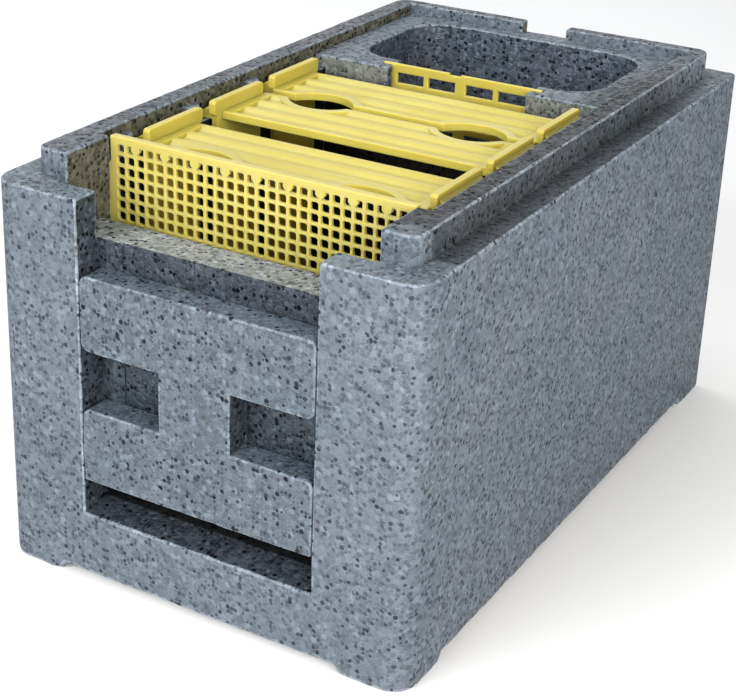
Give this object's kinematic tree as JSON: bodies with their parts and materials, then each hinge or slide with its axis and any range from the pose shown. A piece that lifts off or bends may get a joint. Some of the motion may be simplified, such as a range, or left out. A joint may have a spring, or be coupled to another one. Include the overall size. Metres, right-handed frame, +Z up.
{
  "type": "bee mating nuc box",
  "caption": "Grey foam mating nuc box with an H-shaped sliding entrance door, yellow vent grid, lift-out comb frames and a foam feeder with an excluder grid.",
  "frame": {"origin": "middle of the footprint on the floor plane", "axes": "+Z up, +Y from the door to the back, +X to the right as seen from the door"},
  "size_m": [0.16, 0.266, 0.1495],
  "materials": {
    "foam": "matt bead foam",
    "yellow_plastic": "satin"
  },
  "bodies": {
    "box": {"box_body": "foam"},
    "door": {"entrance_door": "foam"},
    "vent": {"vent_grid": "yellow_plastic"},
    "feeder": {"feeder_tray": "foam"},
    "excluder": {"feeder_excluder": "yellow_plastic"},
    "frame_1": {"frame_1_top_bar": "yellow_plastic", "frame_1_left_end": "yellow_plastic", "frame_1_right_end": "yellow_plastic", "frame_1_bottom_bar": "yellow_plastic"},
    "frame_2": {"frame_2_top_bar": "yellow_plastic", "frame_2_left_end": "yellow_plastic", "frame_2_right_end": "yellow_plastic", "frame_2_bottom_bar": "yellow_plastic"},
    "frame_3": {"frame_3_top_bar": "yellow_plastic", "frame_3_left_end": "yellow_plastic", "frame_3_right_end": "yellow_plastic", "frame_3_bottom_bar": "yellow_plastic"}
  },
  "joints": [
    {"name": "door_slide", "type": "slide", "parent": "box", "child": "door", "axis": [0, 0, 1], "range_m": [-0.013, 0.101]},
    {"name": "vent_lift", "type": "slide", "parent": "box", "child": "vent", "axis": [0, 0, 1], "range_m": [0, 0.04]},
    {"name": "feeder_lift", "type": "slide", "parent": "box", "child": "feeder", "axis": [0, 0, 1], "range_m": [0, 0.125]},
    {"name": "excluder_lift", "type": "slide", "parent": "feeder", "child": "excluder", "axis": [0, 0, 1], "range_m": [0, 0.034]},
    {"name": "frame_1_lift", "type": "slide", "parent": "box", "child": "frame_1", "axis": [0, 0, 1], "range_m": [0, 0.116]},
    {"name": "frame_2_lift", "type": "slide", "parent": "box", "child": "frame_2", "axis": [0, 0, 1], "range_m": [0, 0.116]},
    {"name": "frame_3_lift", "type": "slide", "parent": "box", "child": "frame_3", "axis": [0, 0, 1], "range_m": [0, 0.116]}
  ]
}
